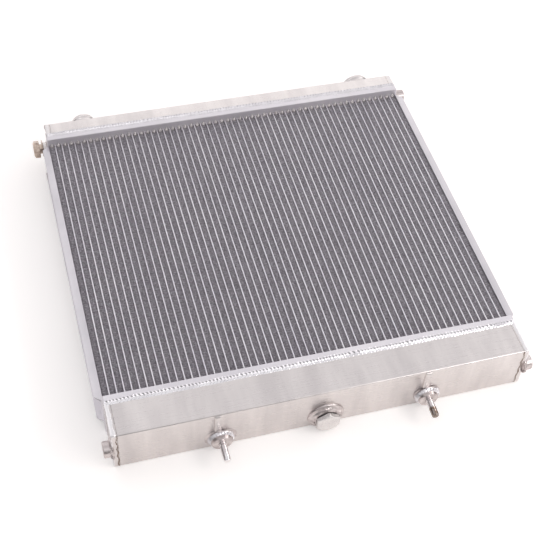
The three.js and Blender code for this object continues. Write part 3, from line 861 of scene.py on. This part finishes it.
def makePins(side):
    # The stud is turned, with a groove, and its painted brown reflection is a steep ramp over the share of its
    # reach.
    low, high = cadSpan(f"locating_pin_{side}")
    foot = [(low[0] + high[0]) / 2, lowerFace - lowerReach, (low[2] + high[2]) / 2]
    place = facing("near", foot)
    reach = foot[1] - low[1]
    r = pin["radius"]
    profile = filleted([[r - 0.4, 0.6], [r, 1.0], [r, reach], [1.2, reach]],
                       np.array([0.1, 0.3, pin["tipRound"], 0.1]), steps=8)
    start, end, root = pin["grooveStart"], pin["grooveEnd"], r - pin["grooveDepth"]
    groove = [[r - 0.02, reach * start], [root, reach * (start + 0.01)],
              [root, reach * (end - 0.01)], [r - 0.02, reach * end]]
    barrel = [[r, share * reach] for share in np.linspace(0.45, 0.85, 17)]   # rings that carry the painted reflection
    cut = np.searchsorted(profile[:, 1], groove[0][1])
    profile = np.vstack([profile[:cut], groove, barrel, profile[cut:]])
    stud = lathe(profile, 48)
    # Painted reflection: brown painted on the outer part of the right stud, standing in for something brown
    # mirrored in the plated steel. The left stud's start lies past its tip, so it has none.
    worn = np.clip((stud[0][..., 1].ravel() / reach - pin["worn"][side]) * pin["paintedReflectionEdge"], 0, 1)
    makePiece(f"locating_stud_{side}", [moved(stud, place)], pinMetal,
              replaces=[f"locating_pin_{side}"], tint=worn)

    # The boss stands on a foot that spreads out sideways along the tank, and falls away as an exponential.
    b, h = pin["boss"], pin["bossHeight"]
    rise = np.array([0.1, 0.5, 1.0, 1.6, 2.3, 3.1, 4.0, 5.0, 6.2, 7.6])   # rings, closer where the foot flares
    outer = np.stack([b + pin["foot"] * np.exp(-rise / pin["footLength"]), rise], -1)
    crown = filleted([outer[-1], [b, h], [pin["bore"], h]], np.array([0.1, pin["crownRound"], 0.1]), steps=6)
    profile = np.vstack([[[pin["bore"], 0.1]], outer, crown[1:]])
    seed = pin["seed"][side]

    def wobble(angle, height):
        ragged = pin["ragged"] * wander(angle * 6, 1.0, seed) * np.sin(angle / 2) ** 0.5
        sideways = pin["spread"][side] * np.abs(np.cos(angle)) ** 1.6
        skirt = np.exp(-height / pin["spreadLength"]) * (sideways + ragged)
        return skirt * (profile[:, :1] > b - 0.2)

    makePiece(f"pin_pad_{side}", [moved(lathe(profile, 96, wobble, ring=True), place)],
              padMetal, replaces=[f"pin_boss_{side}"])
    collar = ringOfBead(b + 2.4, b + 0.5, pin["collarHeight"], pin["collar"], seed)
    makePiece(f"pin_collar_{side}", [moved(collar, place)], brushedWeld)


rib = {
    "fadeStart": 0.08, "fadeEnd": 0.22,    # shares of its length that fade into the tank
    "proud": 0.6, "sink": 0.2, "waver": 0.12, "sidePower": 0.55, "crownPower": 0.7,
}


def makeRib(side):
    # A flattened half round carried down the tank's face, with both ends faded into it.
    low, high = cadSpan(f"pin_rib_{side}")
    t = np.linspace(0, 1, 60)[:, None]
    a = np.linspace(0, math.pi, 17)[None]
    end = np.clip(np.minimum(t / rib["fadeStart"], (1 - t) / rib["fadeEnd"]), 0, 1)
    ends = np.sqrt(np.clip(1 - (1 - end) ** 2, 0.01, 1))
    half = (high[0] - low[0]) / 2
    drift = rib["waver"] * wander(t * 30, 4, 83)
    edge = np.sign(np.cos(a)) * np.abs(np.cos(a)) ** rib["sidePower"]
    foot = high[1] + rib["sink"]
    x = (low[0] + high[0]) / 2 + half * edge * (0.9 + 0.1 * ends) + drift
    y = foot - rib["proud"] * (foot - low[1]) * np.sin(a) ** rib["crownPower"] * ends
    z = low[2] + (high[2] - low[2]) * t + 0 * a
    makePiece(f"pin_stay_{side}", [grid(np.stack([x, y, z], -1), closeV=True, capU=True)], tankMetal,
              replaces=[f"pin_rib_{side}"])


def hexRadius(angle, acrossFlats):
    # Distance from the middle to a hexagon's edge, with a corner at angle 90 degrees.
    sector = (angle - math.pi / 2) % (math.pi / 3) - math.pi / 6
    return acrossFlats / 2 / np.cos(sector)


def screwShape(spec):
    # Rings from the tip of the shank to the face of the head. Along the shank the radius dips in a helix of
    # saw teeth. On the head it is the smaller of a hexagon and a cone, which turns the corners off.
    angle = np.linspace(0, 2 * math.pi, 144, endpoint=False)[None]
    length, r = spec["shankLength"], spec["shank"]
    h = np.linspace(-length + 1.0, -1.2, 72)[:, None]
    tooth = np.abs(((h / spec["thread"] + angle / (2 * math.pi)) % 1) - 0.5) * 2
    rows = [(r - 1.0 + 0 * angle, -length + 0 * angle), (r - spec["cut"] * tooth, h + 0 * angle)]
    rows += [(radius + 0 * angle, height + 0 * angle) for radius, height in spec["stem"]]
    base, top = spec["headBase"], spec["headBase"] + spec["headHeight"]
    hexagon = hexRadius(angle, spec["acrossFlats"])
    shoulder = np.linspace(spec["headHeight"] - spec["drop"] - 0.6, spec["headHeight"], 12)
    levels = np.array([0.0, 0.25, *shoulder])[:, None]
    cone = spec["face"] + (top - base - levels) * spec["slope"]
    blend = np.minimum(hexagon, cone) - 0.12 * np.exp(-np.abs(hexagon - cone) / 0.35)
    blend[0] -= 0.4
    rows.append((blend, base + levels + 0 * angle))
    rows.append((spec["face"] - 0.6 + 0 * angle, top + 0 * angle))
    rows.append((spec["face"] - 1.1 + 0 * angle, top - 0.12 + 0 * angle))
    radius = np.vstack([np.atleast_2d(row[0]) for row in rows])
    height = np.vstack([np.atleast_2d(row[1]) for row in rows])
    points = np.stack([radius * np.cos(angle), height, radius * np.sin(angle)], -1)
    return grid(points, closeV=True, capU=True)


drainPlug = {
    "shank": 12.7, "shankLength": 10.2, "thread": 1.5, "cut": 0.75, "stem": [(12.2, -0.9), (12.2, 0.0)],
    "headBase": 0.0, "headHeight": 6.6, "acrossFlats": 32.0, "face": 13.7, "drop": 2.2, "slope": 1.9,
}
bleedScrew = {
    "shank": 5.0, "shankLength": 14.0, "thread": 1.5, "cut": 0.7,
    "stem": [(4.7, -0.9), (4.7, 0.0), (7.5, 0.0), (7.5, 3.4)],
    "headBase": 3.4, "headHeight": 9.6, "acrossFlats": 24.0, "face": 10.3, "drop": 1.8, "slope": 1.9,
}


drain = {
    "bore": 13.0, "spigot": 16.5, "spigotDepth": 3.0,
    "foot": 25.4, "footRound": 24.8, "footHeight": 2.0, "crown": 15.6,   # the welded cone round the plug
    "collar": {**ringBead, "width": 6.0, "proud": 0.6, "pitch": 2.8, "ripple": 0.8, "sink": 0.6},
    "collarRadius": 20.4, "collarRise": 4.4,
}


def makeDrain():
    # The plug in its cone of weld, with a rippled bead laid round the middle of the cone.
    low, high = cadSpan("drain_plug")
    middle = (low + high) / 2
    place = facing("near", [middle[0], high[1] - drainPlug["shankLength"], middle[2]])
    makePiece("hex_drain_plug", [moved(screwShape(drainPlug), place)], turnedMetal,
              body="drain_plug", replaces=["drain_plug"])

    wall = lowerFace - lowerReach
    height = wall - bungLow[1]
    d = drain
    profile = filleted([
        [d["bore"], -d["spigotDepth"]], [d["spigot"], -d["spigotDepth"]], [d["spigot"], 0.1],
        [d["foot"], 0.1], [d["footRound"], d["footHeight"]], [d["crown"], height], [d["bore"], height],
    ], np.array([0.2, 0.2, 0.2, 0.3, 0.8, 1.4, 0.5]), steps=6, closed=True)
    place = aboveFloor(facing("near", [bungCentre[0], wall, bungCentre[2]]))
    slope = (height - d["footHeight"]) / (d["footRound"] - d["crown"])
    collar = ringOfBead(d["collarRadius"], d["collarRadius"], d["footHeight"] + d["collarRise"] * slope,
                        d["collar"], 91)
    makePiece("drain_boss", [moved(lathe(profile, 96, ring=True), place), moved(collar, place)],
              padMetal, replaces=["drain_bung"])


bleed = {
    "bore": 5.3, "radius": 9.7, "edge": 0.8,
    "collar": {**ringBead, "width": 4.6, "proud": 1.2}, "collarRadius": 10.6, "collarHeight": 1.0,
}


def makeBleed():
    # The screw in its turned socket, with a ring of weld round the socket's foot.
    low, high = cadSpan("bleed_screw")
    middle = (low + high) / 2
    place = facing("left", [high[0] - bleedScrew["shankLength"], middle[1], middle[2]])
    makePiece("brass_bleed_screw", [moved(screwShape(bleedScrew), place)], brassMetal,
              body="bleed_screw", replaces=["bleed_screw"])
    height = bleedHigh[0] - bleedLow[0]
    bore, radius = bleed["bore"], bleed["radius"]
    profile = filleted([[bore, 0.1], [radius, 0.1], [radius, height], [bore, height]], bleed["edge"],
                       steps=5, closed=True)
    place = facing("left", [bleedHigh[0], bleedCentre[1], bleedCentre[2]])
    ring = bleed["collarRadius"]
    collar = ringOfBead(ring, ring, bleed["collarHeight"], bleed["collar"], 97)
    makePiece("bleed_socket", [moved(lathe(profile, 64, ring=True), place), moved(collar, place)],
              turnedMetal, replaces=["bleed_boss"])


endBoss = {
    "faceEdge": 1.6, "boreEdge": 0.7,
    "collar": {**ringBead, "width": 5.4, "proud": 1.5}, "collarOut": 1.2,
}


def makeEndBoss(node, name, side, bore, depth, seed):
    # A turned boss with a blind hole, standing in a ring of weld on the end of a tank.
    low, high = cadSpan(node)
    middle = (low + high) / 2
    radius = (high[2] - low[2]) / 2
    height = high[0] - low[0]
    foot = high[0] if side == "left" else low[0]
    profile = filleted([
        [radius - 1, 0.1], [radius, 0.6], [radius, height], [bore, height],
        [bore, height - depth], [0.6, height - depth - 1],
    ], np.array([0.1, 0.5, endBoss["faceEdge"], endBoss["boreEdge"], 0.3, 0.1]), steps=6)
    place = facing(side, [foot, middle[1], middle[2]])
    out = endBoss["collarOut"]
    collar = ringOfBead(radius + out, radius + out, out, endBoss["collar"], seed)
    makePiece(name, [moved(lathe(profile, 72), place), moved(collar, place)], padMetal,
              replaces=[node])


neck = {
    "wall": 2.6, "spigot": 3.0,
    "bead": 1.3, "mouthTaper": 0.4,
    "beadStart": 9, "beadCrest": (7.2, 5.8), "beadEnd": 4,   # measured back from the mouth
    "skirt": 15.0, "skirtFoot": 3, "spread": 9.0, "spreadLength": 6,   # the weld blended down to one side
    "collar": {**ringBead, "width": 7.0, "proud": 1.7},
}


def makeHoseNeck(side):
    # A turned neck with a rolled bead near its mouth and a run of weld round its foot.
    low, high = neckSpans[side]
    middle = (low + high) / 2
    radius = (high[2] - low[2]) / 2 - neck["bead"]
    wall = upperFace + upperReach
    length = high[1] - wall
    bore = radius - neck["wall"]
    crest = radius + neck["bead"]
    profile = filleted([
        [bore, -neck["spigot"]], [radius, -neck["spigot"]], [radius, length - neck["beadStart"]],
        [crest, length - neck["beadCrest"][0]], [crest, length - neck["beadCrest"][1]],
        [radius, length - neck["beadEnd"]], [radius - neck["mouthTaper"], length], [bore, length],
    ], np.array([0.3, 0.3, 1.2, 0.9, 0.9, 1.2, 0.9, 0.9]), steps=6, closed=True)
    place = facing("far", [middle[0], wall, middle[2]])
    collar = ringOfBead(radius + 1.8, radius + 1.4, 1.6, neck["collar"], 111)
    inside, top = radius - 0.6, neck["skirt"]
    skirt = filleted([[inside, 0.1], [radius + neck["skirtFoot"], 0.1], [radius + 0.1, top], [inside, top]],
                     np.array([0.1, 0.4, 5.0, 0.1]), steps=9, closed=True)

    def wobble(angle, height):
        outward = skirt[:, :1] > radius
        fade = np.exp(-height / neck["spreadLength"])
        return outward * neck["spread"] * fade * np.clip(np.cos(angle), 0, 1) ** 2

    makePiece(f"hose_spout_{side}", [
        moved(lathe(profile, 112, ring=True), place), moved(collar, place),
        moved(lathe(skirt, 112, wobble, ring=True), place),
    ], tankMetal, replaces=[f"hose_neck_{side}"])


for side in ("left", "right"):
    makePins(side)
    makeRib(side)
    makeHoseNeck(side)
makeDrain()
makeBleed()
# CAD node, name, side, bore radius, bore depth, seed
makeEndBoss("lower_boss_left", "lower_end_boss_left", "left", 4.0, 8.0, 121)
makeEndBoss("lower_boss_right", "lower_end_boss_right", "right", 4.0, 8.0, 127)
makeEndBoss("sensor_boss", "sensor_socket", "right", 5.0, 15.0, 131)

shownNodes = {"drain_washer": washerRubber, "bleed_washer": brassMetal, "upper_tank_divider": sheetMetal}
for node, finish in shownNodes.items():
    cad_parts[node].material_slots[0].material = finish
print("fittings made")


# Floor, light and camera, in metres
table = {
    "colour": "#fdf9f6", "roughness": 0.9, "glowColour": "#fdfeff",
    "glow": 0.13, "glowShown": 0.26,   # what the metal mirrors, and what the eye is shown
    "mottle": 400, "strength": 0.1, "depth": 0.1,   # depth of the bump in mm
    "half": 6, "level": -0.0004,
}
studio = {
    "room": (0.99, 0.98, 1.0),
    "roomDark": 0.13, "roomLight": 0.83,          # low down on the camera's side, and overhead and behind
    "roomShown": 1.0,                             # the same room as the eye sees it past the table's edge
    "roomEdge": (0.4, 0.64), "roomTurn": 1.2,     # the height where it changes, and how far that drops behind
    "lights": [
        # name, place, aim, size, radiance, colour
        ("front softbox", (1.05, -1.65, 1.05), (0.3, -0.2, 0), (1.1, 0.7), 2.8, (1.0, 0.97, 0.95)),
        ("side panel", (1.7, -1.1, 1.3), (0.4, -0.6, 0), (0.7, 0.7), 6.0, (1.0, 0.98, 0.96)),
        ("right kicker", (1.6, 0.35, 1.4), (0.1, -0.1, 0), (0.5, 0.5), 2.2, (1.0, 0.98, 0.97)),
        ("left kicker", (-0.8, 0.95, 1.5), (0, -0.2, 0), (0.45, 0.45), 2.4, (1.0, 0.99, 1.0)),
        ("back panel", (0.9, 1.9, 1.2), (0, 0.1, 0), (2.8, 1.2), 0.4, (1.0, 0.97, 0.94)),
    ],
}
camera = {
    "place": (-0.3432, -1.01705, 1.2746),
    "turn": (39.232, -3.273, -15.714),   # degrees about X, Y and Z
    "lens": 71.16, "sensor": 36.0,
}


def makeTable():
    # Lit acrylic table: warm white, matt, and glowing from below, so shadows on it stay short and pale
    material, tree = newMaterial("lit acrylic table")
    place = stretched(tree, (table["mottle"],) * 3)
    mottle = add(tree, "ShaderNodeTexNoise", {"Vector": place, "Scale": 1.0})["Fac"]
    bump = add(tree, "ShaderNodeBump", {
        "Height": mottle, "Strength": table["strength"], "Distance": table["depth"] * mm,
    })["Normal"]
    seen = add(tree, "ShaderNodeLightPath")["Is Camera Ray"]
    glow = add(tree, "ShaderNodeMapRange", {
        "Value": seen, "To Min": table["glow"], "To Max": table["glowShown"],
    })["Result"]
    finishMaterial(tree, {
        "Base Color": linear(table["colour"]), "Roughness": table["roughness"], "Normal": bump,
        "Emission Color": linear(table["glowColour"]), "Emission Strength": glow,
    })
    h, z = table["half"], table["level"]
    mesh = bpy.data.meshes.new("table")
    mesh.from_pydata([(-h, -h, z), (h, -h, z), (h, h, z), (-h, h, z)], [], [(0, 1, 2, 3)])
    mesh.materials.append(material)
    top = bpy.data.objects.new("table", mesh)
    bpy.context.scene.collection.objects.link(top)
    top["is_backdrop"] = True


def makeLights():
    # The room's brightness is a smooth step over height plus a share of how far the direction points behind.
    # A panel's power is its radiance times pi times its area.
    world = bpy.data.worlds.new("studio")
    world.use_nodes = True
    tree = world.node_tree
    tree.nodes.clear()
    direction = add(tree, "ShaderNodeTexCoord")["Generated"]
    axes = add(tree, "ShaderNodeSeparateXYZ", {"Vector": direction})
    behind = add(tree, "ShaderNodeMath", {0: axes["Y"], 1: 0.0}, operation="MAXIMUM")["Value"]
    height = add(tree, "ShaderNodeMath", {
        0: behind, 1: studio["roomTurn"], 2: axes["Z"],
    }, operation="MULTIPLY_ADD")["Value"]
    strength = add(tree, "ShaderNodeMapRange", {
        "Value": height, "From Min": studio["roomEdge"][0], "From Max": studio["roomEdge"][1],
        "To Min": studio["roomDark"], "To Max": studio["roomLight"],
    }, interpolation_type="SMOOTHSTEP")["Result"]
    shown = add(tree, "ShaderNodeMix", {
        "Factor": add(tree, "ShaderNodeLightPath")["Is Camera Ray"], "A": strength, "B": studio["roomShown"],
    })["Result"]
    room = add(tree, "ShaderNodeBackground", {"Color": (*studio["room"], 1.0), "Strength": shown})
    add(tree, "ShaderNodeOutputWorld", {"Surface": room["Background"]})
    bpy.context.scene.world = world
    for name, place, aim, size, radiance, colour in studio["lights"]:
        light = bpy.data.lights.new(name, "AREA")
        light.shape = "RECTANGLE"
        light.size, light.size_y = size
        light.energy = radiance * math.pi * size[0] * size[1]
        light.color = colour
        holder = bpy.data.objects.new(name, light)
        holder.location = place
        holder.rotation_euler = (Vector(aim) - Vector(place)).to_track_quat("-Z", "Y").to_euler()
        bpy.context.scene.collection.objects.link(holder)


def makeCamera():
    data = bpy.data.cameras.new("camera")
    data.lens = camera["lens"]
    data.sensor_width = camera["sensor"]
    data.clip_start = 0.01
    holder = bpy.data.objects.new("camera", data)
    holder.location = camera["place"]
    holder.rotation_euler = Euler([math.radians(angle) for angle in camera["turn"]])
    bpy.context.scene.collection.objects.link(holder)
    bpy.context.scene.camera = holder


makeTable()
makeLights()
makeCamera()
bpy.context.scene.view_settings.view_transform = "Standard"
print("studio made")

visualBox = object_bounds()
boxes = {"cad": cadBox, "visual": visualBox}
{name: [list(corner) for corner in box] for name, box in boxes.items()}
